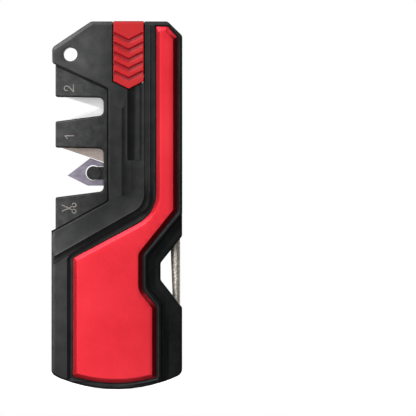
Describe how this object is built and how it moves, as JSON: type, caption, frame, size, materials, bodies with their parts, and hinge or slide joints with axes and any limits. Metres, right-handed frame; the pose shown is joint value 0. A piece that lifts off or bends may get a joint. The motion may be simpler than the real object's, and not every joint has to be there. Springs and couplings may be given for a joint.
{
  "type": "pocket edge sharpener",
  "caption": "Hand-held edge tool with carbide and ceramic V slots, a fold-out tapered diamond rod, a thumb slider and a spring clip.",
  "frame": {"origin": "centre of the lower end on the floor plane, on the seam between the two halves", "axes": "+Z along the length towards the slider, +X across the face towards the rod, -Y out of the front face"},
  "size_m": [0.0412, 0.0171, 0.116],
  "materials": {
    "cover_plastic": "fine moulded texture",
    "core_plastic": "spark-eroded texture",
    "red_aluminium": "satin red anodised",
    "red_plastic": "satin",
    "steel": "bright",
    "carbide": "ground",
    "blade_steel": "ground",
    "ceramic": "matte",
    "diamond_grit": "diamond grit in nickel plate"
  },
  "bodies": {
    "body": {"front_core": "core_plastic", "rear_core": "core_plastic", "front_cover": "cover_plastic", "rear_cover": "cover_plastic", "front_panel": "red_aluminium", "clip_root": "red_aluminium", "clip_rivet_1": "steel", "clip_rivet_2": "steel", "body_screw_1": "steel", "body_screw_2": "steel", "body_screw_3": "steel", "body_screw_4": "steel", "slider_spring": "steel", "rod_pivot_pin": "steel", "pivot_washer_front": "steel", "pivot_washer_rear": "steel", "rod_catch": "core_plastic", "rod_detent_spring": "steel", "carbide_blade": "carbide", "scissor_blade": "blade_steel", "blade_post": "cover_plastic", "ceramic_upper": "ceramic", "ceramic_lower": "ceramic"},
    "rod": {"diamond_rod": "diamond_grit", "rod_holder": "red_plastic"},
    "slider": {"slider_button": "red_plastic", "slider_carriage": "cover_plastic"},
    "clip": {"clip_tongue": "red_aluminium"}
  },
  "joints": [
    {"name": "rod_fold", "type": "hinge", "parent": "body", "child": "rod", "pos_m": [0.0158, 0, 0.0115], "axis": [0, 1, 0], "range_deg": [0, 180]},
    {"name": "slider_slide", "type": "slide", "parent": "body", "child": "slider", "axis": [0, 0, 1], "range_m": [0, 0.018]},
    {"name": "clip_flex", "type": "hinge", "parent": "body", "child": "clip", "pos_m": [0.0157, 0.0076, 0.062], "axis": [1, 0, 0], "range_deg": [0, 5], "stiffness_Nm_per_rad": 0.3}
  ]
}
